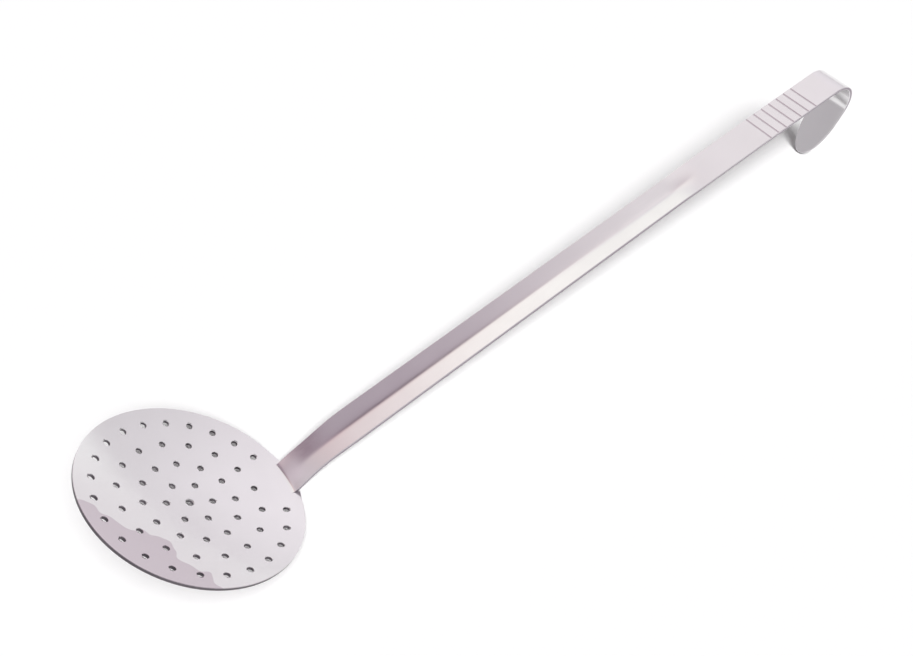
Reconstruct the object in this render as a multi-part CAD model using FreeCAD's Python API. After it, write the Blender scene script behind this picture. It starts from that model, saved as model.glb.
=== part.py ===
"""One-piece perforated skimmer: a shallow round dish, a channelled strip handle and a hanging hook."""
import FreeCAD
import Part
import math
import os

Vector = FreeCAD.Vector

# All lengths are in millimetres and all angles in degrees. The skimmer is drawn with the dish level
# and its handle rising towards +X, and is laid down on its back at the end.

# Sheet and dish
sheet = 2.0
dish_radius = 60.0
dish_depth = 8.8

# Drain holes: one in the middle and rings round it, the last one this far inside the rim
hole_diameter = 3.5
rim_border = 9.4
ring_counts = (6, 12, 16, 24)
ring_first_angles = (-7.5, -7.5, 0.0, 7.5)
handle_clear_angle = 10.0
ring_pitch = (dish_radius - rim_border) / len(ring_counts)

# Fold that turns the handle up out of the rim, and the shoulders beside it
fold_setback = 2.5
fold_inner_radius = 3.0
fold_wall_angle = 66.1
fold_wall_height = 3.2
shoulder_start_angle = 20.5

# Side line of the handle, measured along its upper edges
neck_radius = 152.0
shaft_angle = 49.95
shaft_length = 232.0
grip_radius = 4200.0
grip_length = 129.0
hook_radius = 17.8
hook_turn = 125.9
leg_length = 36.5
tip_length = 28.0

# Widths of the strip
root_width = 20.9
neck_width = 20.3
foot_width = 22.1
shaft_top_width = 20.7
grip_width = 21.5

# Where the strip is narrowest, measured from the top of the fold
neck_place = 15.0

# Pressed channel: a rounded V that grows along the neck and fades out at the start of the grip
channel_depth = 1.7
channel_softness = 0.14
channel_start_depth = 0.8
channel_fade_length = 28.0

# Grooves pressed across the grip
groove_count = 7
groove_pitch = 6.23
groove_width = 1.2
groove_depth = 0.35
last_groove_to_hook = 17.8

# Rows of points along the neck and the fade-out, and their places across, as shares of the half width
neck_rows = 10
fade_rows = 8
half_shares = (0.05, 0.1, 0.16, 0.24, 0.36, 0.52, 0.75, 1.0)
section_shares = [-share for share in reversed(half_shares)] + [0.0] + list(half_shares)

# Spare size of the cutting blocks, how far the hole and groove tools reach past what they cut, and how
# close faces lie to count as touching when pieces are joined
spare = 5.0
overshoot = 1.0
join_tolerance = 0.001


def smooth_step(value, start, end):
    """Ease from 0 at start to 1 at end, level at both ends."""
    share = min(1.0, max(0.0, (value - start) / (end - start)))
    return share * share * (3.0 - 2.0 * share)


def point(x, z, y=0.0):
    """A point given by its place in the side view first."""
    return Vector(x, y, z)


# The dish is part of a hollow ball, and ball_radius is the radius of its inner side
ball_radius = (dish_radius ** 2 + dish_depth ** 2) / (2.0 * dish_depth)
ball_centre = point(0.0, ball_radius)


def ball_point(radius, lean):
    """Point of the side view at this radius from the ball's centre, leaning this far from straight down."""
    return point(radius * math.sin(lean), ball_radius - radius * math.cos(lean))


def ball_height(distance, depth=0.0):
    """Height of the dish's inner side, or of the surface depth below it, this far from the dish's axis."""
    return ball_radius - math.sqrt((ball_radius + depth) ** 2 - distance ** 2)


# Fold: an arc that touches the ball's inner side and the wall line above it
wall_lean = math.radians(fold_wall_angle)
wall_along = point(math.cos(wall_lean), math.sin(wall_lean))
wall_inward = point(-math.sin(wall_lean), math.cos(wall_lean))
corner_distance = dish_radius - fold_setback
wall_corner = point(corner_distance, ball_height(corner_distance))

# Its centre lies fold_inner_radius from both, so its place along the wall line solves a quadratic
beside_corner = wall_corner + wall_inward * fold_inner_radius - ball_centre
half_slope = beside_corner.dot(wall_along)
excess = beside_corner.dot(beside_corner) - (ball_radius - fold_inner_radius) ** 2
centre_place = -half_slope - math.sqrt(half_slope ** 2 - excess)
fold_centre = ball_centre + beside_corner + wall_along * centre_place
fold_lean = math.atan2(fold_centre.x, ball_radius - fold_centre.z)
fold_outer_radius = fold_inner_radius + sheet

# The wall ends level at wall_top, where its inner side is wall_radius from the dish's axis
wall_foot = fold_centre - wall_inward * fold_inner_radius
wall_top = wall_foot.z + fold_wall_height
wall_radius = wall_foot.x + fold_wall_height / math.tan(wall_lean)
wall_breadth = sheet / math.sin(wall_lean)

# Shoulders: straight edges that touch the rim circle at shoulder_touch and run to the strip's sides
touch_lean = math.radians(shoulder_start_angle)
shoulder_touch = Vector(math.cos(touch_lean), math.sin(touch_lean), 0.0) * dish_radius
shoulder_x = shoulder_touch.x + (shoulder_touch.y - root_width / 2.0) * math.tan(touch_lean)
shoulder_distance = math.hypot(shoulder_x, root_width / 2.0)

# Side line of the handle's upper edges: it starts where the wall's top meets the strip's sides
start_x = math.sqrt(wall_radius ** 2 - (root_width / 2.0) ** 2)
start_angle = math.atan(math.tan(wall_lean) * start_x / wall_radius)
end_angle = math.radians(shaft_angle)
neck_length = neck_radius * (start_angle - end_angle)
hook_length = hook_radius * math.radians(hook_turn)
stretches = (
    (neck_length, neck_radius),
    (shaft_length, None),
    (grip_length, grip_radius),
    (hook_length, hook_radius),
    (leg_length, None),
)
shaft_end = neck_length + shaft_length
fade_end = shaft_end + channel_fade_length
hook_start = shaft_end + grip_length


def side_line(place):
    """Point and direction angle of the side line at this length from the fold's top.

    Every bend turns towards the handle's back, so the angle falls by length over radius.
    """
    here = point(start_x, wall_top)
    angle = start_angle
    left = place
    for index, (length, radius) in enumerate(stretches):
        step = left if index == len(stretches) - 1 else min(left, length)
        if radius is None:
            here = here + point(math.cos(angle), math.sin(angle)) * step
        else:
            turned = angle - step / radius
            across = math.sin(angle) - math.sin(turned)
            up = math.cos(turned) - math.cos(angle)
            here = here + point(across, up) * radius
            angle = turned
        left = left - step
        if left <= 0.0:
            break
    return here, angle


def strip_width(place):
    """Width of the neck and of the fade-out; the shaft between them tapers evenly."""
    if place > neck_length:
        return shaft_top_width + (grip_width - shaft_top_width) * smooth_step(place, shaft_end, fade_end)
    width = root_width + (neck_width - root_width) * smooth_step(place, 0.0, neck_place)
    return width + (foot_width - neck_width) * smooth_step(place, neck_place, neck_length)


def channel_line_depth(place):
    """Depth of the channel's middle line below the strip's upper edges."""
    growth = smooth_step(place, 0.0, neck_length)
    depth = channel_start_depth + (channel_depth - channel_start_depth) * growth
    return depth * (1.0 - smooth_step(place, shaft_end, fade_end))


def channel_section(share):
    """Height of a rounded V, 0 in the middle and 1 at both edges, where share is -1 and 1."""
    soft = channel_softness
    return (math.hypot(share, soft) - soft) / (math.hypot(1.0, soft) - soft)


def upper_point(place, share):
    """Point of the handle's upper side. The root's rows are arcs round the dish's axis, as its wall is."""
    here, angle = side_line(place)
    half_width = strip_width(place) / 2.0
    y = share * half_width
    rounded = point(math.sqrt(here.x ** 2 + half_width ** 2 - y ** 2), here.z, y)
    drop = channel_line_depth(place) * (1.0 - channel_section(share))
    pressed = point(here.x + math.sin(angle) * drop, here.z - math.cos(angle) * drop, y)
    blend = smooth_step(place, 0.0, neck_place)
    return rounded * (1.0 - blend) + pressed * blend


def under_point(place, share):
    """Point below the upper one: level with it at the wall's top, and square to the strip further on."""
    angle = side_line(place)[1]
    upper = upper_point(place, share)
    distance = math.hypot(upper.x, upper.y) + wall_breadth
    rounded = point(math.sqrt(distance ** 2 - upper.y ** 2), upper.z, upper.y)
    half_width = strip_width(place) / 2.0
    nudge = 0.001
    rise = channel_section(share + nudge) - channel_section(share - nudge)
    slope = channel_line_depth(place) * rise / (2.0 * nudge * half_width)
    backward = Vector(math.sin(angle), slope, -math.cos(angle)).normalize()
    pressed = upper + backward * sheet
    blend = smooth_step(place, 0.0, neck_place)
    return rounded * (1.0 - blend) + pressed * blend


def revolved(outline, box=None):
    """Solid of revolution about the dish's axis from a closed list of edges, kept inside box if given."""
    solid = Part.Face(Part.Wire(outline)).revolve(Vector(0, 0, 0), Vector(0, 0, 1), 360)
    return solid.common(box) if box else solid


def arc_edge(centre, radius, first_angle, last_angle):
    """Arc in the side view through three of its points, with angles in radians."""
    turns = (first_angle, (first_angle + last_angle) / 2.0, last_angle)
    ends = [centre + point(math.cos(turn), math.sin(turn)) * radius for turn in turns]
    return Part.Arc(*ends).toShape()


def hollow_ball():
    """The hollow ball whose lowest part is the dish. It lies on its side, so no pole is in the dish."""
    sideways = Vector(0, 1, 0)
    outer = Part.makeSphere(ball_radius + sheet, ball_centre, sideways)
    return outer.cut(Part.makeSphere(ball_radius, ball_centre, sideways))


def strip_box():
    """Block as wide as the strip's root, over the +X half of the dish."""
    reach = dish_radius + 4.0 * spare
    corner = Vector(0.0, -root_width / 2.0, -2.0 * spare)
    return Part.makeBox(reach, root_width, dish_depth + 8.0 * spare, corner)


def make_dish():
    """The dish with its shoulders, and with a gap in the rim where the handle's fold goes."""
    height = dish_depth + 2.0 * spare
    half_root = root_width / 2.0
    plan = [(0.0, shoulder_touch.y), (shoulder_touch.x, shoulder_touch.y), (shoulder_x, half_root)]
    plan += [(x, -y) for x, y in reversed(plan)]
    corners = [Vector(x, y, -spare) for x, y in plan]
    shoulders = Part.Face(Part.makePolygon(corners + corners[:1])).extrude(Vector(0, 0, height))
    rim = Part.makeCylinder(dish_radius, height, Vector(0, 0, -spare))
    dish = hollow_ball().common(rim.fuse(shoulders).removeSplitter())
    above = ball_point(ball_radius - overshoot, fold_lean)
    below = ball_point(ball_radius + sheet + overshoot, fold_lean)
    far_x = dish_radius + 2.0 * spare
    high_z = dish_depth + spare
    gap_outline = [above, below, point(far_x, below.z), point(far_x, high_z), point(above.x, high_z)]
    sides = zip(gap_outline, gap_outline[1:] + gap_outline[:1])
    gap = revolved([Part.makeLine(first, last) for first, last in sides], strip_box())
    return dish.cut(gap)


def make_fold():
    """The fold and its short upright wall, bent round the dish's axis and as wide as the strip's root."""
    first = fold_lean - math.pi / 2.0
    last = wall_lean - math.pi / 2.0
    inner_top = point(wall_radius, wall_top)
    outer_top = point(wall_radius + wall_breadth, wall_top)
    outer_foot = fold_centre - wall_inward * fold_outer_radius
    outline = [
        arc_edge(fold_centre, fold_inner_radius, first, last),
        Part.makeLine(wall_foot, inner_top),
        Part.makeLine(inner_top, outer_top),
        Part.makeLine(outer_top, outer_foot),
        arc_edge(fold_centre, fold_outer_radius, last, first),
        Part.makeLine(ball_point(ball_radius + sheet, fold_lean), ball_point(ball_radius, fold_lean)),
    ]
    return revolved(outline, strip_box())


def make_skin(make_point, first_place, last_place, rows):
    """Smooth surface through rows of points, spaced evenly between two places of the side line."""
    step = (last_place - first_place) / rows
    places = [first_place + step * row for row in range(rows + 1)]
    skin = Part.BSplineSurface()
    skin.interpolate([[make_point(place, share) for share in section_shares] for place in places])
    return skin


def strip_faces(make_point):
    """Faces of one side of the channelled strip, neck, shaft and fade-out, and their border curves."""
    neck = make_skin(make_point, 0.0, neck_length, neck_rows)
    fade = make_skin(make_point, shaft_end, fade_end, fade_rows)
    shaft = Part.makeRuledSurface(row_curve(neck, 1), row_curve(fade, 0))
    borders = [row_curve(neck, 0), row_curve(fade, 1)]
    for end in (0, 1):
        sides = [column_curve(neck, end), column_curve(fade, end)]
        neck_end, fade_start = [make_point(place, 2 * end - 1) for place in (neck_length, shaft_end)]
        borders += [sides[0], Part.makeLine(neck_end, fade_start), sides[1]]
    return [neck.toShape(), shaft, fade.toShape()], borders


def row_curve(skin, end):
    """The skin's first row of points, or its last where end is 1, as an edge."""
    return skin.uIso(skin.bounds()[end]).toShape()


def column_curve(skin, end):
    """The skin's edge along the strip, on its -Y side, or its +Y side where end is 1."""
    return skin.vIso(skin.bounds()[2 + end]).toShape()


def make_channelled_strip():
    """Neck, shaft and fade-out: an upper and an under side, closed by walls between their borders."""
    upper_faces, upper_borders = strip_faces(upper_point)
    under_faces, under_borders = strip_faces(under_point)
    walls = [Part.makeRuledSurface(upper, under) for upper, under in zip(upper_borders, under_borders)]
    shell = Part.makeShell(upper_faces + under_faces + walls)
    shell.sewShape()
    solid = Part.makeSolid(Part.Shell(shell.Faces))
    if solid.Volume < 0.0:
        solid.reverse()
    return solid


def side_edges(places, depth):
    """Arcs of the side line moved down by depth between neighbouring places, and a line for the leg."""
    edges = []
    for first, last in zip(places, places[1:]):
        ends = []
        for place in (first, (first + last) / 2.0, last):
            here, angle = side_line(place)
            ends.append(here + point(math.sin(angle), -math.cos(angle)) * depth)
        is_leg = last == places[-1]
        edges.append(Part.makeLine(ends[0], ends[2]) if is_leg else Part.Arc(*ends).toShape())
    return edges


def make_grip_and_hook():
    """Flat grip, hook bend and leg as one bent strip of even width."""
    hook_end = hook_start + hook_length
    places = (fade_end, hook_start, hook_end, hook_end + leg_length)
    upper = side_edges(places, 0.0)
    under = side_edges(places, sheet)
    first_wall = Part.makeLine(under[0].Vertexes[0].Point, upper[0].Vertexes[0].Point)
    last_wall = Part.makeLine(upper[-1].Vertexes[-1].Point, under[-1].Vertexes[-1].Point)
    outline = Part.Wire(Part.__sortEdges__([first_wall] + upper + [last_wall] + under))
    profile = Part.Face(outline)
    profile.translate(Vector(0, -grip_width / 2.0, 0))
    return profile.extrude(Vector(0, grip_width, 0))


def tip_cutter():
    """What is cut off the leg to give it a half oval end."""
    tip, angle = side_line(hook_start + hook_length + leg_length)
    down_leg = point(math.cos(angle), math.sin(angle))
    outward = point(-math.sin(angle), math.cos(angle))
    across = Vector(0, 1, 0)
    half_width = grip_width / 2.0
    centre = tip - down_leg * tip_length
    oval = Part.Ellipse(tip, centre + across * half_width, centre)
    oval_face = Part.Face(Part.Wire(oval.toShape()))
    half_block = half_width + spare
    corners = [centre - across * half_block, centre + across * half_block]
    corners += [corner + down_leg * (tip_length + spare) for corner in reversed(corners)]
    block_face = Part.Face(Part.makePolygon(corners + corners[:1]))
    cutter = block_face.cut(oval_face)
    cutter.translate(outward * -2.0 * spare)
    return cutter.extrude(outward * 4.0 * spare)


def hole_cutters():
    """Round cutters square to the dish, in rings, leaving out the outer ones in front of the handle."""
    spots = [(0.0, 0.0)]
    for ring, (count, first_angle) in enumerate(zip(ring_counts, ring_first_angles), start=1):
        for step in range(count):
            angle = first_angle + step * 360.0 / count
            turned = (angle + 180.0) % 360.0 - 180.0
            if ring < len(ring_counts) or abs(turned) > handle_clear_angle:
                spots.append((ring * ring_pitch, angle))
    cutters = []
    for distance, angle in spots:
        turned = math.radians(angle)
        spot = Vector(distance * math.cos(turned), distance * math.sin(turned), ball_height(distance))
        inward = (ball_centre - spot).normalize()
        base = spot - inward * (sheet + overshoot)
        cutters.append(Part.makeCylinder(hole_diameter / 2.0, sheet + 2.0 * overshoot, base, inward))
    return cutters


def groove_cutters():
    """Round bars whose lowest part presses the grooves into the grip's upper side."""
    bar_radius = (groove_width ** 2 / 4.0 + groove_depth ** 2) / (2.0 * groove_depth)
    cutters = []
    for step in range(groove_count):
        here, angle = side_line(hook_start - last_groove_to_hook - step * groove_pitch)
        upward = point(-math.sin(angle), math.cos(angle))
        middle = here + upward * (bar_radius - groove_depth)
        base = middle - Vector(0, grip_width / 2.0 + overshoot, 0)
        bar_length = grip_width + 2.0 * overshoot
        cutters.append(Part.makeCylinder(bar_radius, bar_length, base, Vector(0, 1, 0)))
    return cutters


def lay_down(shape):
    """Lay the skimmer on its back, on the shoulders' corners and the hook's tip, and centre it over 0."""
    tip = side_line(hook_start + hook_length + leg_length)[0]
    corner = point(shoulder_x, ball_height(shoulder_distance, sheet))
    tilt = math.atan2(tip.z - corner.z, tip.x - corner.x)
    shape.rotate(Vector(0, 0, 0), Vector(0, 1, 0), math.degrees(tilt))
    box = shape.optimalBoundingBox()
    shape.translate(Vector(-(box.XMin + box.XMax) / 2.0, 0.0, -box.ZMin))
    return shape


def make_skimmer():
    """Join the dish, the fold, the channelled strip and the hook, and pierce and groove them."""
    dish = make_dish().cut(hole_cutters())
    hook = make_grip_and_hook().cut([tip_cutter()] + groove_cutters())
    whole = dish.fuse([make_fold(), make_channelled_strip(), hook], join_tolerance)
    return lay_down(whole.removeSplitter())


def main():
    """Build the skimmer and write it as a STEP file."""
    os.makedirs("parts", exist_ok=True)
    skimmer = make_skimmer()
    box = skimmer.optimalBoundingBox()
    print("solids", len(skimmer.Solids), "valid", skimmer.isValid(), "volume", round(skimmer.Volume, 1))
    print("size", round(box.XLength, 1), round(box.YLength, 1), round(box.ZLength, 1))
    skimmer.Solids[0].exportStep("parts/skimmer.step")


main()
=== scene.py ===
"""A one-piece steel skimmer: a shallow perforated dish, a channelled strip handle and a hanging hook."""
import logging
import math
from dataclasses import dataclass
from enum import Enum

import bpy
import numpy as np
from mathutils import Matrix, Vector


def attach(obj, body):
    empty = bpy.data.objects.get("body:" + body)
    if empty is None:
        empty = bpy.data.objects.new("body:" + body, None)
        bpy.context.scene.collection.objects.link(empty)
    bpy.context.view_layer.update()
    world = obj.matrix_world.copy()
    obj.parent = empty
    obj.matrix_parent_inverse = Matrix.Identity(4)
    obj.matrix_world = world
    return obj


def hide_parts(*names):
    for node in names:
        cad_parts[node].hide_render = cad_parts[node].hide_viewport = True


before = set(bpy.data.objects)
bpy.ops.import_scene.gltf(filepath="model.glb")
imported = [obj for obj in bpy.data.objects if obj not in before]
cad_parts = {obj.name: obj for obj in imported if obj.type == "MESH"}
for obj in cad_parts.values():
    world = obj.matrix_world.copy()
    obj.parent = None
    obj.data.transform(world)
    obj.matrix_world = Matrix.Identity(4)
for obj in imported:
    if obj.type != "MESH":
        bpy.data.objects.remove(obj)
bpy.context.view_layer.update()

log = logging.getLogger("skimmer")

# One millimetre in Blender's metres
MILLIMETRE = 0.001

# The part of a noise texture's 0 to 1 that nearly all of its values fall in
NOISE_RANGE = (0.3, 0.7)

# A patch is one grid of points on the sheet's upper side and the matching grid on its under side, each an
# array of rows x columns x 3, in millimetres, with the dish level and the handle rising towards +X.
Patch = tuple[np.ndarray, np.ndarray]

# Red, green and blue
Tone = tuple[float, float, float]


class Face(Enum):
    """The kinds of surface on the cut sheet, in the order of its material slots."""

    PRESSED = 0
    CUT_EDGE = 1


def smooth_step(value: np.ndarray, start: float, end: float) -> np.ndarray:
    """Ease from 0 at start to 1 at end: three times the share squared, less twice its cube.

    Args:
        value: Places to ease.
        start: Place where the result leaves 0.
        end: Place where the result reaches 1.

    Returns:
        The eased shares, one for each place.
    """
    share = np.clip((value - start) / (end - start), 0.0, 1.0)
    return share * share * (3.0 - 2.0 * share)


def mix(first: np.ndarray, second: np.ndarray, share: np.ndarray | float) -> np.ndarray:
    """Point that lies this share of the way from first to second."""
    return first + (second - first) * share


def polar(distance: np.ndarray | float, degrees: np.ndarray | float) -> np.ndarray:
    """Plan point (x, y) at this distance from the dish's axis, turned this many degrees from +X."""
    turn = np.radians(degrees)
    return np.stack(np.broadcast_arrays(distance * np.cos(turn), distance * np.sin(turn)), axis=-1)


def points(x: np.ndarray, y: np.ndarray, z: np.ndarray) -> np.ndarray:
    """Grid of points from three arrays that broadcast to the same shape."""
    return np.stack(np.broadcast_arrays(x, y, z), axis=-1)


def between(places: list[float], steps: tuple[int, ...]) -> np.ndarray:
    """Evenly spaced places between neighbouring stops, with each stop once.

    Args:
        places: The stops, rising.
        steps: How many steps lie between each stop and the next.

    Returns:
        All places in order.
    """
    runs = [np.linspace(a, b, n + 1)[1:] for a, b, n in zip(places, places[1:], steps)]
    return np.concatenate([np.array(places[:1])] + runs)


def add_node(
    tree: bpy.types.NodeTree, kind: str, inputs: dict[int | str, object], operation: str = ""
) -> bpy.types.Node:
    """Add a node and fill its inputs.

    Args:
        tree: The node tree to add to.
        kind: Blender's name for the kind of node.
        inputs: For each input, the socket to link to it or its plain value.
        operation: What a mathematical node works out.

    Returns:
        The node.
    """
    node = tree.nodes.new(kind)
    if operation:
        node.operation = operation
    for name, value in inputs.items():
        if isinstance(value, bpy.types.NodeSocket):
            tree.links.new(value, node.inputs[name])
        else:
            node.inputs[name].default_value = value
    return node


@dataclass(frozen=True)
class Dish:
    """The round dish: part of a hollow ball, pierced in rings, with straight shoulders at the handle."""

    sheet: float = 2.0
    radius: float = 60.0
    depth: float = 8.8
    hole_diameter: float = 3.5
    rim_border: float = 9.4
    ring_counts: tuple[int, ...] = (6, 12, 16, 24)
    ring_first_angles: tuple[float, ...] = (-7.5, -7.5, 0.0, 7.5)
    shoulder_start_angle: float = 20.5
    root_half_width: float = 10.45
    slit_width: float = 0.1
    divisions: int = 288
    radial_steps: int = 8
    clear_columns: int = 12
    strip_columns: int = 9
    strip_evenness: float = 0.4
    cell_shares: tuple[float, ...] = (0.0, 0.06, 0.2, 0.42, 0.7, 1.0)
    rim_shares: tuple[float, ...] = (0.0, 0.2, 0.4, 0.6, 0.8, 0.92, 1.0)

    @property
    def ball_radius(self) -> float:
        """Inner radius of the ball: radius squared plus depth squared, over twice the depth."""
        return (self.radius**2 + self.depth**2) / (2.0 * self.depth)

    @property
    def pitch(self) -> float:
        """Distance from each ring of holes to the next."""
        return (self.radius - self.rim_border) / len(self.ring_counts)

    @property
    def column_degrees(self) -> float:
        """Turn from each line of the plan grid to the next."""
        return 360.0 / self.divisions

    @property
    def outer_share(self) -> float:
        """How much larger the ball's outer side is than its inner one."""
        return (self.ball_radius + self.sheet) / self.ball_radius

    def height(self, plan: np.ndarray, depth: float = 0.0) -> np.ndarray:
        """Height of the ball below a plan point.

        It is the inner radius less the root of this side's radius squared less the distance squared.

        Args:
            plan: Plan points.
            depth: How far outside the inner side the wanted side lies.

        Returns:
            One height for each point.
        """
        square = (self.ball_radius + depth) ** 2 - (plan**2).sum(axis=-1)
        return self.ball_radius - np.sqrt(square)

    def raise_patch(self, upper_plan: np.ndarray, under_plan: np.ndarray) -> Patch:
        """Lift two plan grids onto the ball's inner and outer side.

        Args:
            upper_plan: Plan grid of the upper side.
            under_plan: Plan grid of the under side.

        Returns:
            The patch between them.
        """
        upper = points(upper_plan[..., 0], upper_plan[..., 1], self.height(upper_plan))
        under = points(under_plan[..., 0], under_plan[..., 1], self.height(under_plan, self.sheet))
        return upper, under

    def square_patch(self, plan: np.ndarray) -> Patch:
        """Patch whose under side lies straight out from the ball's centre behind the upper one."""
        return self.raise_patch(plan, plan * self.outer_share)

    def hole_edge(self, spot: np.ndarray, turns: np.ndarray) -> np.ndarray:
        """Plan points of a round hole pierced square to the ball.

        The circle leans from the spot's own direction by the angle whose sine is the hole's radius over the
        ball's: direction times cosine plus the two level tangents times sine.

        Args:
            spot: Plan point of the hole's centre.
            turns: Angles round the hole, in radians, from the outward direction towards the sideways one.

        Returns:
            One plan point for each angle.
        """
        distance = float(np.hypot(*spot))
        outward = spot / distance if distance else np.array([1.0, 0.0])
        sideways = np.array([-outward[1], outward[0]])
        lean = math.asin(distance / self.ball_radius)
        spread = math.asin(0.5 * self.hole_diameter / self.ball_radius)
        along = math.sin(lean) * math.cos(spread) + math.cos(lean) * math.sin(spread) * np.cos(turns)
        across = math.sin(spread) * np.sin(turns)
        return self.ball_radius * (along[:, None] * outward + across[:, None] * sideways)

    def middle_cell(self) -> Patch:
        """Rings of points from the middle hole out to half a pitch, by a share of the way between them."""
        degrees = np.arange(self.divisions + 1) * self.column_degrees
        edge = self.hole_edge(np.zeros(2), np.radians(degrees))
        border = polar(0.5 * self.pitch, degrees)
        shares = np.array(self.cell_shares)[:, None, None]
        return self.square_patch(mix(edge, border, shares))

    def ring_cell(self, ring: int, degrees: float, fold_distance: float) -> Patch:
        """The part of the dish round one hole: rings of points from the hole out to the cell's four sides.

        Args:
            ring: Number of the ring of holes, from 1.
            degrees: Where the hole is on its ring.
            fold_distance: Distance from the axis at which the last ring's cells end.

        Returns:
            The cell's patch.
        """
        half = 180.0 / self.ring_counts[ring - 1]
        columns = self.divisions // self.ring_counts[ring - 1]
        near = (ring - 0.5) * self.pitch
        far = fold_distance if ring == len(self.ring_counts) else (ring + 0.5) * self.pitch
        turns = np.linspace(degrees - half, degrees + half, columns + 1)
        reach = np.linspace(near, far, self.radial_steps + 1)
        sides = [
            polar(far, turns),
            polar(reach[::-1], degrees + half)[1:],
            polar(near, turns[::-1])[1:],
            polar(reach, degrees - half)[1:],
        ]
        border = np.concatenate(sides)
        spot = polar(ring * self.pitch, degrees)
        outward = spot / np.hypot(*spot)
        beside = border - spot
        along = beside @ outward
        across = beside @ np.array([-outward[1], outward[0]])
        edge = self.hole_edge(spot, np.arctan2(across, along))
        shares = np.array(self.cell_shares)[:, None, None]
        return self.square_patch(mix(edge, border, shares))

    def strip_shares(self) -> np.ndarray:
        """Places of the strip's columns: the even share times its evenness, and its cube times the rest."""
        even = np.arange(-self.strip_columns, self.strip_columns + 1) / self.strip_columns
        return even * (self.strip_evenness + (1.0 - self.strip_evenness) * even**2)

    def fold_angles(self, fold_distance: float) -> np.ndarray:
        """Degrees of the grid's lines where the fold starts.

        They run through the strip's columns, and then in even steps beside them.

        Args:
            fold_distance: Distance from the axis at which the fold starts.

        Returns:
            The lines' angles, rising.
        """
        inner = np.degrees(np.arcsin(self.strip_shares() * self.root_half_width / fold_distance))
        clear = self.clear_columns * self.column_degrees
        outer = np.linspace(inner[-1], clear, self.clear_columns - self.strip_columns + 1)[1:]
        return np.concatenate([-outer[::-1], inner, outer])

    def fold_under(self, upper: np.ndarray, ease: np.ndarray) -> np.ndarray:
        """Plan of the under side near the fold, where the strip keeps its width.

        The distance from the axis grows by the ball's outer share, and y grows by it only where ease is 0.

        Args:
            upper: Plan of the upper side.
            ease: 1 on the strip's own columns where the fold starts, and 0 away from them.

        Returns:
            Plan of the under side.
        """
        distance = np.hypot(upper[..., 0], upper[..., 1]) * self.outer_share
        y = upper[..., 1] * mix(np.full_like(ease, self.outer_share), np.ones_like(ease), ease)
        x = np.copysign(np.sqrt(distance**2 - y**2), upper[..., 0])
        return np.stack([x, y], axis=-1)

    def column_ease(self) -> np.ndarray:
        """1 on the strip's columns, falling evenly to 0 on the last line beside them."""
        lines = np.abs(np.arange(-self.clear_columns, self.clear_columns + 1))
        return np.clip((self.clear_columns - lines) / (self.clear_columns - self.strip_columns), 0.0, 1.0)

    def clear_part(self, fold_distance: float) -> Patch:
        """The part in front of the handle that has no outer holes.

        Its lines turn from even angles to the strip's columns by the share of the way out to the fold.

        Args:
            fold_distance: Distance from the axis at which the fold starts.

        Returns:
            The patch.
        """
        start = (len(self.ring_counts) - 0.5) * self.pitch
        even = np.arange(-self.clear_columns, self.clear_columns + 1) * self.column_degrees
        shares = np.linspace(0.0, 1.0, self.radial_steps + 1)[:, None]
        first = polar(start, even)
        last = polar(fold_distance, self.fold_angles(fold_distance))
        upper = mix(first, last, shares[..., None])
        return self.raise_patch(upper, self.fold_under(upper, shares * self.column_ease()))

    def outline(self, degrees: np.ndarray) -> np.ndarray:
        """Plan of the rim: the circle, and near the handle the line that touches it at the shoulder."""
        beside = np.maximum(self.shoulder_start_angle - np.abs(degrees), 0.0)
        return polar(self.radius / np.cos(np.radians(beside)), degrees)

    def rim_band(self, fold_distance: float) -> Patch:
        """The rim outside the fold's start, all round but for the handle's root.

        Each line runs straight out to the rim, and both sides of the sheet end on the same upright wall.

        Args:
            fold_distance: Distance from the axis at which the band starts.

        Returns:
            The band's patch.
        """
        angles = self.fold_angles(fold_distance)
        beside = angles[-(self.clear_columns - self.strip_columns + 1) :]
        even = np.arange(self.clear_columns, self.divisions // 2 + 1) * self.column_degrees
        half = np.concatenate([beside[:-1], even])
        corner_y = self.root_half_width + self.slit_width
        touch = np.radians(self.shoulder_start_angle)
        corner_x = (self.radius - corner_y * math.sin(touch)) / math.cos(touch)
        corner_angle = math.degrees(math.atan2(corner_y, corner_x))
        ends = half.copy()
        ends[: len(beside)] = np.linspace(corner_angle, even[0], len(beside))
        start = polar(fold_distance, half)
        eases = np.zeros(len(half))
        eases[: len(beside)] = self.column_ease()[-len(beside) :]
        shares = np.array(self.rim_shares)[:, None, None]
        upper = mix(start, self.outline(ends), shares)
        under = mix(self.fold_under(start, eases), self.outline(ends), shares)
        flip = np.array([1.0, -1.0])
        upper = np.concatenate([upper, (upper * flip)[:, -2::-1]], axis=1)
        under = np.concatenate([under, (under * flip)[:, -2::-1]], axis=1)
        return self.raise_patch(upper, under)

    def patches(self, fold_distance: float) -> list[Patch]:
        """All patches of the dish.

        Args:
            fold_distance: Distance from the axis at which the handle's fold starts.

        Returns:
            The middle, one cell for each hole, the part without outer holes and the rim.
        """
        cells = [self.middle_cell()]
        clear = self.clear_columns * self.column_degrees
        for ring, (count, first) in enumerate(zip(self.ring_counts, self.ring_first_angles), start=1):
            for degrees in first + 360.0 / count * np.arange(count):
                turned = abs((degrees + 180.0) % 360.0 - 180.0)
                if ring < len(self.ring_counts) or turned > clear:
                    cells.append(self.ring_cell(ring, float(degrees), fold_distance))
        return cells + [self.clear_part(fold_distance), self.rim_band(fold_distance)]


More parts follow.
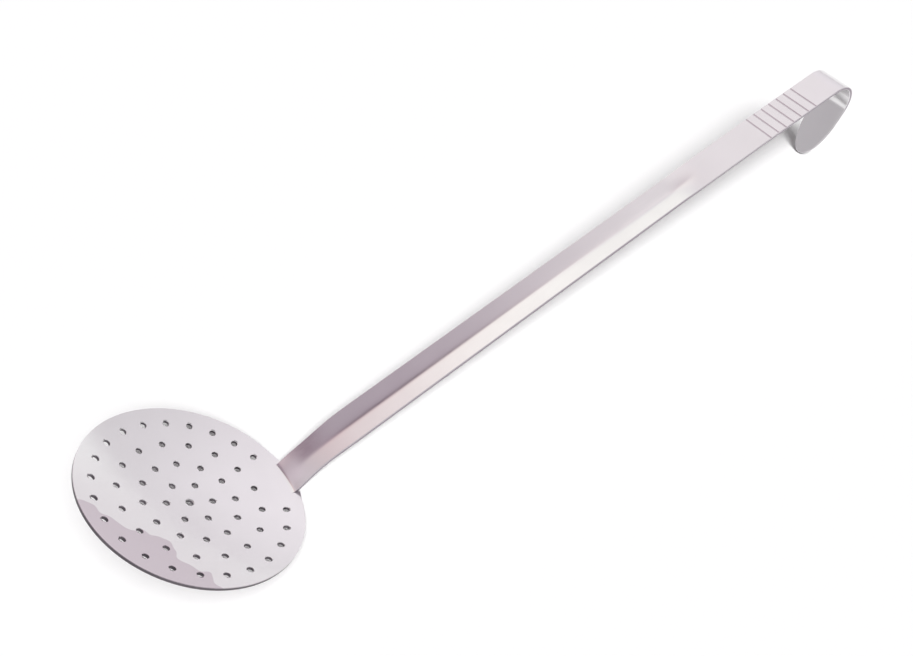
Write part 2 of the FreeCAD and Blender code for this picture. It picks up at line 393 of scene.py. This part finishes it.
@dataclass(frozen=True)
class Fold:
    """The tight bend and short wall that turn the handle up out of the dish's rim."""

    dish: Dish
    setback: float = 2.5
    inner_radius: float = 3.0
    wall_degrees: float = 66.1
    wall_height: float = 3.2
    bend_rows: int = 9
    wall_rows: int = 3

    @property
    def wall_lean(self) -> float:
        """Lean of the wall from level, in radians."""
        return math.radians(self.wall_degrees)

    @property
    def centre(self) -> tuple[float, float]:
        """Middle of the bend in the side view, this far inside both the ball and the wall's line.

        It is a point of the line beside the wall, at the smaller root of the quadratic that sets its
        distance from the ball's centre to the ball's radius less the bend's.
        """
        ball = self.dish.ball_radius
        corner = self.dish.radius - self.setback
        across, up = -math.sin(self.wall_lean), math.cos(self.wall_lean)
        beside = (
            corner + across * self.inner_radius,
            -math.sqrt(ball**2 - corner**2) + up * self.inner_radius,
        )
        along = (math.cos(self.wall_lean), math.sin(self.wall_lean))
        half_slope = beside[0] * along[0] + beside[1] * along[1]
        excess = beside[0] ** 2 + beside[1] ** 2 - (ball - self.inner_radius) ** 2
        place = -half_slope - math.sqrt(half_slope**2 - excess)
        return beside[0] + along[0] * place, ball + beside[1] + along[1] * place

    @property
    def start_lean(self) -> float:
        """Lean of the ball's radius where the bend starts, in radians."""
        x, z = self.centre
        return math.atan2(x, self.dish.ball_radius - z)

    @property
    def start_distance(self) -> float:
        """Distance from the dish's axis at which the bend starts on the upper side."""
        return self.dish.ball_radius * math.sin(self.start_lean)

    @property
    def wall_foot(self) -> tuple[float, float]:
        """Where the bend's upper side meets the wall, in the side view."""
        x, z = self.centre
        lean = self.wall_lean
        return x + self.inner_radius * math.sin(lean), z - self.inner_radius * math.cos(lean)

    @property
    def wall_top(self) -> float:
        """Height of the wall's level end."""
        return self.wall_foot[1] + self.wall_height

    @property
    def wall_radius(self) -> float:
        """Distance of the wall's inner top from the dish's axis."""
        return self.wall_foot[0] + self.wall_height / math.tan(self.wall_lean)

    @property
    def wall_breadth(self) -> float:
        """Level thickness of the leaning wall."""
        return self.dish.sheet / math.sin(self.wall_lean)

    def side_view(self, radius: float) -> tuple[np.ndarray, np.ndarray]:
        """Distance and height of one side of the bend and wall: an arc, then a straight line.

        Args:
            radius: Distance of this side from the bend's middle.

        Returns:
            Distances from the dish's axis, and heights.
        """
        x, z = self.centre
        leans = np.linspace(self.start_lean, self.wall_lean, self.bend_rows + 1)
        arc_x = x + radius * np.sin(leans)
        arc_z = z - radius * np.cos(leans)
        top_x = self.wall_radius + (self.wall_breadth if radius > self.inner_radius else 0.0)
        rises = np.arange(1, self.wall_rows + 1) / self.wall_rows
        wall_x = mix(arc_x[-1], top_x, rises)
        wall_z = mix(arc_z[-1], self.wall_top, rises)
        return np.concatenate([arc_x, wall_x]), np.concatenate([arc_z, wall_z])

    def patch(self) -> Patch:
        """The bend and wall round the dish's axis: x is the root of distance squared less y squared."""
        y = self.dish.strip_shares()[None, :] * self.dish.root_half_width
        sides = []
        for radius in (self.inner_radius, self.inner_radius + self.dish.sheet):
            distance, height = self.side_view(radius)
            sides.append(points(np.sqrt(distance[:, None] ** 2 - y**2), y, height[:, None]))
        return sides[0], sides[1]


@dataclass(frozen=True)
class Handle:
    """The strip: a narrow neck, a channelled shaft, a flat grooved grip, and the hook with its oval tip."""

    fold: Fold
    neck_radius: float = 152.0
    shaft_degrees: float = 49.95
    shaft_length: float = 232.0
    grip_radius: float = 4200.0
    grip_length: float = 129.0
    hook_radius: float = 17.8
    hook_turn: float = 125.9
    leg_length: float = 36.5
    tip_length: float = 28.0
    root_width: float = 20.9
    neck_width: float = 20.3
    foot_width: float = 22.1
    shaft_top_width: float = 20.7
    grip_width: float = 21.5
    neck_place: float = 15.0
    channel_depth: float = 1.7
    channel_softness: float = 0.14
    channel_start_depth: float = 0.8
    channel_fade_length: float = 28.0
    groove_count: int = 7
    groove_pitch: float = 6.23
    groove_width: float = 1.2
    groove_depth: float = 0.35
    last_groove_to_hook: float = 17.8
    groove_rows: tuple[float, ...] = (0.18, 0.35, 0.5, 0.6, 0.75, 1.5)
    plain_margin: float = 3.0
    steps_before_grooves: tuple[int, ...] = (26, 36, 20, 12)
    steps_after_grooves: tuple[int, ...] = (4, 30, 4)
    tip_rows: int = 14

    @property
    def start_x(self) -> float:
        """Where the strip's upper edges leave the fold's wall."""
        return math.sqrt(self.fold.wall_radius**2 - (0.5 * self.root_width) ** 2)

    @property
    def start_angle(self) -> float:
        """Rise of the strip's upper edges there, in radians."""
        return math.atan(math.tan(self.fold.wall_lean) * self.start_x / self.fold.wall_radius)

    @property
    def neck_length(self) -> float:
        """Length of the neck's arc: its radius times its turn."""
        return self.neck_radius * (self.start_angle - math.radians(self.shaft_degrees))

    @property
    def shaft_end(self) -> float:
        """Place where the channel starts to fade out."""
        return self.neck_length + self.shaft_length

    @property
    def fade_end(self) -> float:
        """Place where the channel is gone."""
        return self.shaft_end + self.channel_fade_length

    @property
    def hook_start(self) -> float:
        """Place where the hook's bend starts."""
        return self.shaft_end + self.grip_length

    @property
    def hook_end(self) -> float:
        """Place where the hook's bend ends."""
        return self.hook_start + self.hook_radius * math.radians(self.hook_turn)

    @property
    def length(self) -> float:
        """Length of the side line from the fold's top to the tip."""
        return self.hook_end + self.leg_length

    def side_line(self, place: np.ndarray) -> tuple[np.ndarray, np.ndarray, np.ndarray]:
        """The strip's upper edges seen from the side: arcs and straight runs end to end.

        Along an arc the angle falls by length over radius, x grows by the radius times the fall of the
        angle's sine, and z by the radius times the rise of its cosine.

        Args:
            place: Lengths along the line from the fold's top.

        Returns:
            The line's x, z and angle at each place.
        """
        x = np.full_like(place, self.start_x)
        z = np.full_like(place, self.fold.wall_top)
        angle = np.full_like(place, self.start_angle)
        stretches = (
            (self.neck_length, self.neck_radius),
            (self.shaft_length, None),
            (self.grip_length, self.grip_radius),
            (self.hook_end - self.hook_start, self.hook_radius),
            (self.leg_length, None),
        )
        first, heading = 0.0, self.start_angle
        for length, radius in stretches:
            step = np.clip(place - first, 0.0, length)
            if radius is None:
                x = x + math.cos(heading) * step
                z = z + math.sin(heading) * step
            else:
                turned = heading - step / radius
                x = x + radius * (math.sin(heading) - np.sin(turned))
                z = z + radius * (np.cos(turned) - math.cos(heading))
                angle = angle - step / radius
                heading -= length / radius
            first += length
        return x, z, angle

    def half_width(self, place: np.ndarray) -> np.ndarray:
        """Half of the strip's width: eased over the neck, even over the shaft, eased over the fade-out."""
        neck = mix(self.root_width, self.neck_width, smooth_step(place, 0.0, self.neck_place))
        widening = smooth_step(place, self.neck_place, self.neck_length)
        neck = neck + (self.foot_width - self.neck_width) * widening
        along = np.clip((place - self.neck_length) / self.shaft_length, 0.0, 1.0)
        shaft = (self.shaft_top_width - self.foot_width) * along
        grip = (self.grip_width - self.shaft_top_width) * smooth_step(place, self.shaft_end, self.fade_end)
        return 0.5 * (neck + shaft + grip)

    def middle_depth(self, place: np.ndarray) -> np.ndarray:
        """Depth of the channel's middle line: it grows over the neck and fades out at the grip's start."""
        growth = smooth_step(place, 0.0, self.neck_length)
        depth = mix(self.channel_start_depth, self.channel_depth, growth)
        return depth * (1.0 - smooth_step(place, self.shaft_end, self.fade_end))

    def groove_middles(self) -> np.ndarray:
        """Places of the grooves, rising."""
        last = self.hook_start - self.last_groove_to_hook
        return last - self.groove_pitch * np.arange(self.groove_count)[::-1]

    def groove_drop(self, place: np.ndarray) -> np.ndarray:
        """Depth of the grooves: in each, the full depth times 1 less the share from its middle squared."""
        share = np.abs(place[..., None] - self.groove_middles()).min(axis=-1) / (0.5 * self.groove_width)
        return self.groove_depth * np.clip(1.0 - share**2, 0.0, None)

    def rows(self) -> np.ndarray:
        """Places of the rows from the fold's top to the start of the half oval, close at the grooves."""
        beside = np.array(self.groove_rows)
        grooves = (self.groove_middles()[:, None] + np.concatenate([-beside[::-1], [0.0], beside])).ravel()
        stops = [0.0, self.neck_length, self.shaft_end, self.fade_end, grooves[0] - self.plain_margin]
        before = between(stops, self.steps_before_grooves)
        tip_start = self.length - self.tip_length
        stops = [grooves[-1] + self.plain_margin, self.hook_start, self.hook_end, tip_start]
        return np.concatenate([before, grooves, between(stops, self.steps_after_grooves)])

    def pressed(self, place: np.ndarray, y: np.ndarray) -> Patch:
        """Both sides of the strip at these places along it and these distances from its middle plane.

        The section is a rounded V: the root of share squared plus softness squared, scaled to be 0 in the
        middle and 1 at the edges. The under side lies one sheet behind, square to the upper one. At the
        fold's top the rows are arcs round the dish's axis, and they straighten over the neck.

        Args:
            place: Places along the side line.
            y: Distances from the middle plane.

        Returns:
            The upper and under points.
        """
        x, z, angle = self.side_line(place)
        half = self.half_width(place)
        share = y / half
        soft = self.channel_softness
        scale = math.hypot(1.0, soft) - soft
        section = (np.hypot(share, soft) - soft) / scale
        depth = self.middle_depth(place)
        drop = depth * (1.0 - section)
        sheet = self.fold.dish.sheet
        slope = depth * share / (np.hypot(share, soft) * scale * half)
        backward = points(np.sin(angle), slope, -np.cos(angle))
        backward = backward / np.linalg.norm(backward, axis=-1, keepdims=True)
        plain = points(x + np.sin(angle) * drop, y, z - np.cos(angle) * drop)
        groove = self.groove_drop(place)
        upper = plain + groove[..., None] * points(np.sin(angle), 0.0 * y, -np.cos(angle))
        under = plain + backward * sheet
        root = np.sqrt(x**2 + half**2 - y**2)
        distance = np.hypot(root, y) + self.fold.wall_breadth
        blend = smooth_step(place, 0.0, self.neck_place)[..., None]
        upper = mix(points(root, y, z), upper, blend)
        under = mix(points(np.sqrt(distance**2 - y**2), y, z), under, blend)
        return upper, under

    def strip_patch(self) -> Patch:
        """The strip from the fold's top to the start of its half oval tip."""
        place = self.rows()[:, None]
        share = self.fold.dish.strip_shares()[None, :]
        place, share = np.broadcast_arrays(place, share)
        return self.pressed(place, share * self.half_width(place))

    def tip_patch(self) -> Patch:
        """The half oval tip, from a square of shares u across and v along.

        The place runs by v times the root of 1 less half of u squared, and y by u times the root of 1 less
        half of v squared, which turns the square's sides into the oval's rim.
        """
        u = self.fold.dish.strip_shares()[None, :]
        v = np.linspace(0.0, 1.0, self.tip_rows + 1)[:, None]
        along = v * np.sqrt(1.0 - 0.5 * u**2)
        across = u * np.sqrt(1.0 - 0.5 * v**2)
        place = self.length - self.tip_length + self.tip_length * along
        return self.pressed(place, across * 0.5 * self.grip_width)

    def patches(self) -> list[Patch]:
        """The fold, the strip and its tip."""
        return [self.fold.patch(), self.strip_patch(), self.tip_patch()]


@dataclass(frozen=True)
class PaintedLightPatch:
    """Painted light and shade laid over the steel inside a ball, with a wavy border and a thin fade round
    it.
    """

    tone: Tone
    centre: tuple[float, float, float]
    reach: float
    softness: float = 0.0008
    wave_scale: float = 70.0
    wave_detail: float = 1.0
    wave_depth: float = 0.022
    fade_share: float = 0.0
    fade_reach: float = 0.04

    def mask(self, tree: bpy.types.NodeTree, place: bpy.types.NodeSocket) -> bpy.types.NodeSocket:
        """Share of the painted patch at each place: 1 inside the border, and outside it a thin fade that
        dies away.

        The distance from the ball's centre, moved by noise, is eased over the border's softness. The fade
        follows the same distance unmoved, and the larger of the two shares counts.

        Args:
            tree: The material's nodes.
            place: Socket with Object coordinates, in metres.

        Returns:
            Socket with the share.
        """
        ends = {0: place, 1: self.centre}
        away = add_node(tree, "ShaderNodeVectorMath", ends, "DISTANCE").outputs["Value"]
        pattern = {"Vector": place, "Scale": self.wave_scale, "Detail": self.wave_detail}
        wave = add_node(tree, "ShaderNodeTexNoise", pattern).outputs["Fac"]
        moved = add_node(tree, "ShaderNodeMath", {0: wave, 1: self.wave_depth, 2: away}, "MULTIPLY_ADD")
        border = self.reach + 0.5 * self.wave_depth
        limits = {"From Min": border, "From Max": border - self.softness}
        share = add_node(tree, "ShaderNodeMapRange", {"Value": moved.outputs["Value"], **limits})
        share.interpolation_type = "SMOOTHSTEP"
        if not self.fade_share:
            return share.outputs["Result"]
        limits = {"From Min": self.reach + self.fade_reach, "From Max": self.reach, "To Max": self.fade_share}
        fade_share = add_node(tree, "ShaderNodeMapRange", {"Value": away, **limits})
        fade_share.interpolation_type = "SMOOTHSTEP"
        both = {0: share.outputs["Result"], 1: fade_share.outputs["Result"]}
        return add_node(tree, "ShaderNodeMath", both, "MAXIMUM").outputs["Value"]


@dataclass(frozen=True)
class SteelFinish:
    """Satin-polished stainless steel with a faint grain along one direction."""

    name: str
    light: Tone
    dark: Tone
    roughness: tuple[float, float]
    grain_scale: tuple[float, float, float]
    grain_bump: float
    grain_height: float = 0.00002
    grain_detail: float = 4.0
    cloud_scale: float = 38.0
    cloud_detail: float = 3.0
    # A patch of painted light and shade over the steel's own tones, where one is given
    painted_light: PaintedLightPatch | None = None

    def colour(self, tree: bpy.types.NodeTree, place: bpy.types.NodeSocket) -> bpy.types.NodeSocket:
        """Colour of the steel: a soft cloud of noise between two tones, with the patch of painted light and
        shade over it.

        Args:
            tree: The material's nodes.
            place: Socket with Object coordinates, in metres.

        Returns:
            Socket with the colour.
        """
        pattern = {"Vector": place, "Scale": self.cloud_scale, "Detail": self.cloud_detail}
        cloud = add_node(tree, "ShaderNodeTexNoise", pattern)
        tones = add_node(tree, "ShaderNodeValToRGB", {"Fac": cloud.outputs["Fac"]})
        for stop, position, tone in zip(tones.color_ramp.elements, NOISE_RANGE, (self.dark, self.light)):
            stop.position = position
            stop.color = (*tone, 1.0)
        if not self.painted_light:
            return tones.outputs["Color"]
        # Painted light and shade: the patch's tone is mixed over the steel's own tones
        painted_over = tree.nodes.new("ShaderNodeMix")
        painted_over.data_type = "RGBA"
        painted_over.inputs["B"].default_value = (*self.painted_light.tone, 1.0)
        tree.links.new(self.painted_light.mask(tree, place), painted_over.inputs["Factor"])
        tree.links.new(tones.outputs["Color"], painted_over.inputs["A"])
        return painted_over.outputs["Result"]

    def material(self) -> bpy.types.Material:
        """Make the node material.

        Besides the colour, noise stretched along the grain moves the roughness and lifts a very low bump.

        Returns:
            The material.
        """
        material = bpy.data.materials.new(self.name)
        material.use_nodes = True
        tree = material.node_tree
        shader = tree.nodes["Principled BSDF"]
        shader.inputs["Metallic"].default_value = 1.0
        place = tree.nodes.new("ShaderNodeTexCoord").outputs["Object"]
        tree.links.new(self.colour(tree, place), shader.inputs["Base Color"])
        stretch = add_node(tree, "ShaderNodeMapping", {"Vector": place, "Scale": self.grain_scale})
        pattern = {"Vector": stretch.outputs["Vector"], "Scale": 1.0, "Detail": self.grain_detail}
        grain = add_node(tree, "ShaderNodeTexNoise", pattern).outputs["Fac"]
        limits = {"From Min": NOISE_RANGE[0], "From Max": NOISE_RANGE[1]}
        limits |= {"To Min": self.roughness[0], "To Max": self.roughness[1]}
        gloss = add_node(tree, "ShaderNodeMapRange", {"Value": grain, **limits})
        tree.links.new(gloss.outputs["Result"], shader.inputs["Roughness"])
        lift = {"Height": grain, "Strength": self.grain_bump, "Distance": self.grain_height}
        bump = add_node(tree, "ShaderNodeBump", lift)
        tree.links.new(bump.outputs["Normal"], shader.inputs["Normal"])
        return material


@dataclass(frozen=True)
class PressedSheet:
    """The whole skimmer as one closed sheet: patches welded, walled at every cut and laid on its back."""

    handle: Handle
    weld: float = 0.0001
    edge_round: float = 0.28
    slit_round_share: float = 0.2
    edge_segments: int = 3
    hook_samples: int = 2001

    def lay_down(self, place: np.ndarray) -> np.ndarray:
        """Turn and shift points so that the skimmer rests on its shoulders and the hook's tip, centred.

        With the tilt t, x becomes x cos t + z sin t and z becomes z cos t - x sin t. The shift puts the
        lowest point at 0 and the middle of the length at 0.

        Args:
            place: Points with the dish level.

        Returns:
            The points at rest, still in millimetres.
        """
        handle, dish = self.handle, self.handle.fold.dish
        tip_x, tip_z, _ = handle.side_line(np.array([handle.length]))
        touch = math.radians(dish.shoulder_start_angle)
        corner_x = (dish.radius - dish.root_half_width * math.sin(touch)) / math.cos(touch)
        corner = np.array([[corner_x, dish.root_half_width]])
        corner_z = dish.height(corner, dish.sheet)
        tilt = math.atan2(float(tip_z[0] - corner_z[0]), float(tip_x[0]) - corner_x)
        cosine, sine = math.cos(tilt), math.sin(tilt)
        rim_z = dish.height(np.array([[dish.radius, 0.0]]), dish.sheet)
        rim_x = float(rim_z[0]) * sine - dish.radius * cosine
        sweep = np.linspace(handle.hook_start, handle.hook_end, self.hook_samples)
        hook_x, hook_z, _ = handle.side_line(sweep)
        far_x = float((hook_x * cosine + hook_z * sine).max())
        floor_z = float(corner_z[0]) * cosine - corner_x * sine
        x = place[:, 0] * cosine + place[:, 2] * sine - 0.5 * (rim_x + far_x)
        z = place[:, 2] * cosine - place[:, 0] * sine - floor_z
        return points(x, place[:, 1], z)

    def build_mesh(self) -> bpy.types.Mesh:
        """Weld the patches, close the sheet with walls, and put the arrays into a mesh.

        Points of two patches at the same place become one. A wall stands on every edge that has a face on
        one side only.

        Returns:
            The mesh, in metres.
        """
        patches = self.handle.fold.dish.patches(self.handle.fold.start_distance) + self.handle.patches()
        uppers, unders, quads, start = [], [], [], 0
        for upper, under in patches:
            rows, columns = upper.shape[:2]
            index = start + np.arange(rows * columns).reshape(rows, columns)
            corners = [index[:-1, :-1], index[1:, :-1], index[1:, 1:], index[:-1, 1:]]
            quads.append(np.stack(corners, -1).reshape(-1, 4))
            uppers.append(upper.reshape(-1, 3))
            unders.append(under.reshape(-1, 3))
            start += rows * columns
        upper, under, quads = np.concatenate(uppers), np.concatenate(unders), np.concatenate(quads)
        keys = np.round(upper / self.weld).astype(np.int64)
        _, first, same = np.unique(keys, axis=0, return_index=True, return_inverse=True)
        upper, under, quads = upper[first], under[first], same.reshape(-1)[quads]
        across = np.cross(upper[quads[:, 2]] - upper[quads[:, 0]], upper[quads[:, 3]] - upper[quads[:, 1]])
        outward = (upper[quads] - under[quads]).sum(axis=1)
        inside_out = (across * outward).sum(axis=1) < 0.0
        quads[inside_out] = quads[inside_out, ::-1]
        edges = np.stack([quads, np.roll(quads, -1, axis=1)], -1).reshape(-1, 2)
        count = len(upper)
        codes = edges[:, 0] * count + edges[:, 1]
        lone = edges[~np.isin(codes, edges[:, 1] * count + edges[:, 0])]
        walls = np.stack([lone[:, 1], lone[:, 0], lone[:, 0] + count, lone[:, 1] + count], -1)
        faces = np.concatenate([quads, quads[:, ::-1] + count, walls])
        vertices = self.lay_down(np.concatenate([upper, under])) * MILLIMETRE
        mesh = bpy.data.meshes.new("skimmer_sheet")
        mesh.vertices.add(len(vertices))
        mesh.vertices.foreach_set("co", vertices.astype(np.float32).ravel())
        mesh.loops.add(faces.size)
        mesh.loops.foreach_set("vertex_index", faces.astype(np.int32).ravel())
        mesh.polygons.add(len(faces))
        mesh.polygons.foreach_set("loop_start", np.arange(0, faces.size, 4, dtype=np.int32))
        slots = np.full(len(faces), Face.PRESSED.value, dtype=np.int32)
        slots[-len(walls) :] = Face.CUT_EDGE.value
        mesh.polygons.foreach_set("material_index", slots)
        mesh.update(calc_edges=True)
        mesh.polygons.foreach_set("use_smooth", np.ones(len(faces), dtype=bool))
        self.mark_cuts(mesh, np.concatenate([lone, lone + count]), np.concatenate([upper, under]))
        return mesh

    def mark_cuts(self, mesh: bpy.types.Mesh, cuts: np.ndarray, places: np.ndarray) -> None:
        """Give every cut edge its share of the rounding: all of it, but little of it along the slits.

        A cut lies along a slit where both of its ends are beside the strip's root and below the wall's top.

        Args:
            mesh: The sheet's mesh.
            cuts: Pairs of point numbers, one for each edge that joins a pressed side to a wall.
            places: All points with the dish level, in millimetres.
        """
        fold = self.handle.fold
        from_slit = np.abs(np.abs(places[:, 1]) - fold.dish.root_half_width)
        near = from_slit < 2.0 * fold.dish.slit_width
        near &= (places[:, 0] > 0.0) & (places[:, 2] < fold.wall_top)
        total = len(places)
        ends = np.sort(cuts, axis=1)
        pairs = np.empty(2 * len(mesh.edges), dtype=np.int32)
        mesh.edges.foreach_get("vertices", pairs)
        pairs = np.sort(pairs.reshape(-1, 2).astype(np.int64), axis=1)
        cut = np.isin(pairs[:, 0] * total + pairs[:, 1], ends[:, 0] * total + ends[:, 1])
        weight = np.where(near[pairs].all(axis=1), self.slit_round_share, 1.0) * cut
        attribute = mesh.attributes.new("bevel_weight_edge", "FLOAT", "EDGE")
        attribute.data.foreach_set("value", weight.astype(np.float32))

    def build(self, finishes: dict[Face, SteelFinish]) -> bpy.types.Object:
        """Make the skimmer's object, dress it and tie it to the frame.

        Args:
            finishes: The finish of each kind of surface.

        Returns:
            The object, at the origin.
        """
        mesh = self.build_mesh()
        piece = bpy.data.objects.new("skimmer_sheet", mesh)
        bpy.context.scene.collection.objects.link(piece)
        for kind in Face:
            mesh.materials.append(finishes[kind].material())
        rounding = piece.modifiers.new("rounded_cuts", "BEVEL")
        rounding.width = self.edge_round * MILLIMETRE
        rounding.segments = self.edge_segments
        rounding.limit_method = "WEIGHT"
        rounding.use_clamp_overlap = False
        rounding.harden_normals = True
        rounding.material = Face.PRESSED.value
        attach(piece, "root")
        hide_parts("skimmer")
        return piece


@dataclass(frozen=True)
class SkyLobe:
    """A soft bright or dark area of the sky."""

    azimuth: float
    elevation: float
    sharpness: float
    tone: Tone

    @property
    def middle(self) -> Vector:
        """Direction of the lobe's middle, with the azimuth turned from +X towards +Y."""
        azimuth, elevation = math.radians(self.azimuth), math.radians(self.elevation)
        level = math.cos(elevation)
        return Vector((level * math.cos(azimuth), level * math.sin(azimuth), math.sin(elevation)))

    def add_to(
        self, tree: bpy.types.NodeTree, direction: bpy.types.NodeSocket, sky: bpy.types.NodeSocket
    ) -> bpy.types.NodeSocket:
        """Add this lobe to the sky built so far.

        It adds its tone times e to the power of its sharpness times the cosine of the angle to its middle
        less 1.

        Args:
            tree: The world's nodes.
            direction: Socket with the direction looked at.
            sky: Socket with the tone so far.

        Returns:
            Socket with the new tone.
        """
        cosine = add_node(tree, "ShaderNodeVectorMath", {0: direction, 1: self.middle}, "DOT_PRODUCT")
        fall = {0: cosine.outputs["Value"], 1: self.sharpness, 2: -self.sharpness}
        power = add_node(tree, "ShaderNodeMath", fall, "MULTIPLY_ADD")
        share = add_node(tree, "ShaderNodeMath", {0: power.outputs["Value"]}, "EXPONENT")
        total = {0: share.outputs["Value"], 1: self.tone, 2: sky}
        added = add_node(tree, "ShaderNodeVectorMath", total, "MULTIPLY_ADD")
        return added.outputs["Vector"]


@dataclass(frozen=True)
class Studio:
    """White floor, soft sky, one lamp above and right of the camera, and the photograph's camera."""

    floor_size: float = 12.0
    floor_tone: Tone = (0.97, 0.97, 0.97)
    floor_roughness: float = 0.9
    lamp_direction: tuple[float, float, float] = (0.05, -0.47, 0.88)
    lamp_spread: float = 30.0
    lamp_strength: float = 3.15
    diffuse_share: float = 0.2
    sky_base: Tone = (0.459, 0.441, 0.459)
    sensor_width: float = 36.0
    lens: float = 34.896
    nearest_seen: float = 0.01
    camera_place: tuple[float, float, float] = (-0.181001, -0.246930, 0.445259)
    camera_right: tuple[float, float, float] = (0.816264, -0.571931, -0.081296)
    camera_up: tuple[float, float, float] = (0.510394, 0.648097, 0.565215)
    camera_back: tuple[float, float, float] = (-0.270576, -0.502858, 0.820928)
    lobes: tuple[SkyLobe, ...] = (
        SkyLobe(-110.0, 35.0, 2.5, (0.30, 0.30, 0.30)),
        SkyLobe(53.0, 32.0, 2.41, (0.612, 0.582, 0.604)),
        SkyLobe(76.3, 46.9, 36.6, (0.636, 0.705, 0.573)),
        SkyLobe(158.4, 55.3, 36.6, (-0.342, -0.388, -0.369)),
        SkyLobe(79.9, 60.2, 10.44, (-0.558, -0.668, -0.590)),
        SkyLobe(44.7, 64.8, 36.6, (0.412, 0.463, 0.402)),
        SkyLobe(107.6, 47.7, 36.6, (0.268, 0.188, 0.143)),
        SkyLobe(64.4, 48.7, 61.85, (-0.610, -0.646, -0.461)),
        SkyLobe(167.6, 44.2, 99.5, (0.597, 0.447, 0.452)),
        SkyLobe(59.7, 43.3, 39.61, (0.309, 0.392, 0.243)),
        SkyLobe(70.1, 54.5, 99.5, (0.409, 0.432, 0.347)),
        SkyLobe(142.0, 34.0, 45.0, (0.210, 0.130, 0.170)),
        SkyLobe(95.0, 67.0, 100.0, (-0.250, -0.170, -0.220)),
    )

    def build_sky(self) -> None:
        """Light the scene from a soft sky: an even tone plus the lobes, and less of it on the floor."""
        world = bpy.data.worlds.new("studio_sky")
        world.use_nodes = True
        nodes, links = world.node_tree.nodes, world.node_tree.links
        place = nodes.new("ShaderNodeTexCoord")
        total = nodes.new("ShaderNodeCombineXYZ")
        for socket, value in zip(total.inputs, self.sky_base):
            socket.default_value = value
        sky = total.outputs["Vector"]
        for lobe in self.lobes:
            sky = lobe.add_to(world.node_tree, place.outputs["Generated"], sky)
        background = nodes["Background"]
        links.new(sky, background.inputs["Color"])
        path = nodes.new("ShaderNodeLightPath")
        shares = {"Value": path.outputs["Is Diffuse Ray"], "To Min": 1.0, "To Max": self.diffuse_share}
        level = add_node(world.node_tree, "ShaderNodeMapRange", shares)
        links.new(level.outputs["Result"], background.inputs["Strength"])
        bpy.context.scene.world = world

    def build_floor(self) -> bpy.types.Object:
        """Lay a plain white floor.

        Returns:
            The floor.
        """
        half = 0.5 * self.floor_size
        mesh = bpy.data.meshes.new("floor")
        corners = [(-half, -half, 0.0), (half, -half, 0.0), (half, half, 0.0), (-half, half, 0.0)]
        mesh.from_pydata(corners, [], [(0, 1, 2, 3)])
        floor = bpy.data.objects.new("floor", mesh)
        bpy.context.scene.collection.objects.link(floor)
        material = bpy.data.materials.new("white_floor")
        material.use_nodes = True
        shader = material.node_tree.nodes["Principled BSDF"]
        shader.inputs["Base Color"].default_value = (*self.floor_tone, 1.0)
        shader.inputs["Roughness"].default_value = self.floor_roughness
        shader.inputs["Specular IOR Level"].default_value = 0.0
        mesh.materials.append(material)
        return floor

    def build_lamp(self) -> bpy.types.Object:
        """Shine one soft, distant lamp from above and to the right of the camera."""
        data = bpy.data.lights.new("front_lamp", "SUN")
        data.angle = math.radians(self.lamp_spread)
        data.energy = self.lamp_strength
        lamp = bpy.data.objects.new("front_lamp", data)
        lamp.rotation_euler = Vector(self.lamp_direction).to_track_quat("Z", "Y").to_euler()
        lamp.visible_glossy = False
        bpy.context.scene.collection.objects.link(lamp)
        return lamp

    def build_camera(self) -> bpy.types.Object:
        """Place the camera: its columns are the picture's right, up and backward directions."""
        data = bpy.data.cameras.new("camera")
        data.sensor_fit = "HORIZONTAL"
        data.sensor_width = self.sensor_width
        data.lens = self.lens
        data.clip_start = self.nearest_seen
        camera = bpy.data.objects.new("camera", data)
        turn = Matrix((self.camera_right, self.camera_up, self.camera_back)).transposed()
        camera.matrix_world = Matrix.Translation(self.camera_place) @ turn.to_4x4()
        bpy.context.scene.collection.objects.link(camera)
        bpy.context.scene.camera = camera
        return camera

    def build(self) -> None:
        """Set up the view, the sky, the floor, the lamp and the camera."""
        bpy.context.scene.view_settings.view_transform = "Standard"
        self.build_sky()
        self.build_floor()
        self.build_lamp()
        self.build_camera()


def main() -> None:
    """Build the skimmer and the studio."""
    logging.basicConfig(level=logging.INFO, format="%(name)s: %(message)s")
    finishes = {
        Face.PRESSED: SteelFinish(
            name="polished_sheet",
            light=(0.83, 0.82, 0.828),
            dark=(0.795, 0.785, 0.792),
            roughness=(0.15, 0.21),
            grain_scale=(60.0, 900.0, 900.0),
            grain_bump=0.15,
            # Painted reflection: a darker mauve patch on the dish, standing in for something dark that the
            # polished steel reflects, with a faint fade round it
            painted_light=PaintedLightPatch(
                tone=(0.585, 0.52, 0.565),
                centre=(-0.3038, -0.0948, 0.1264),
                reach=0.122,
                fade_share=0.35,
            ),
        ),
        # The cut edges' very dark tones are partly the sheared steel's own darker look and partly painted
        # shade, standing in for the shade on edges and hole walls
        Face.CUT_EDGE: SteelFinish(
            name="sheared_edge_and_painted_shade",
            light=(0.17, 0.155, 0.17),
            dark=(0.10, 0.09, 0.10),
            roughness=(0.35, 0.5),
            grain_scale=(700.0, 700.0, 300.0),
            grain_bump=0.4,
            # Painted light: a lighter tone on the cut edges of the handle and the shoulders beside it,
            # where they catch more light
            painted_light=PaintedLightPatch(
                tone=(0.36, 0.32, 0.36),
                centre=(0.2, 0.0, 0.05),
                reach=0.385,
                softness=0.015,
                wave_depth=0.004,
            ),
        ),
    }
    skimmer = PressedSheet(Handle(Fold(Dish())))
    piece = skimmer.build(finishes)
    log.info("%s: %d vertices, %d faces", piece.name, len(piece.data.vertices), len(piece.data.polygons))
    Studio().build()
    log.info("floor, sky, lamp and camera are in place")


if __name__ == "__main__":
    main()
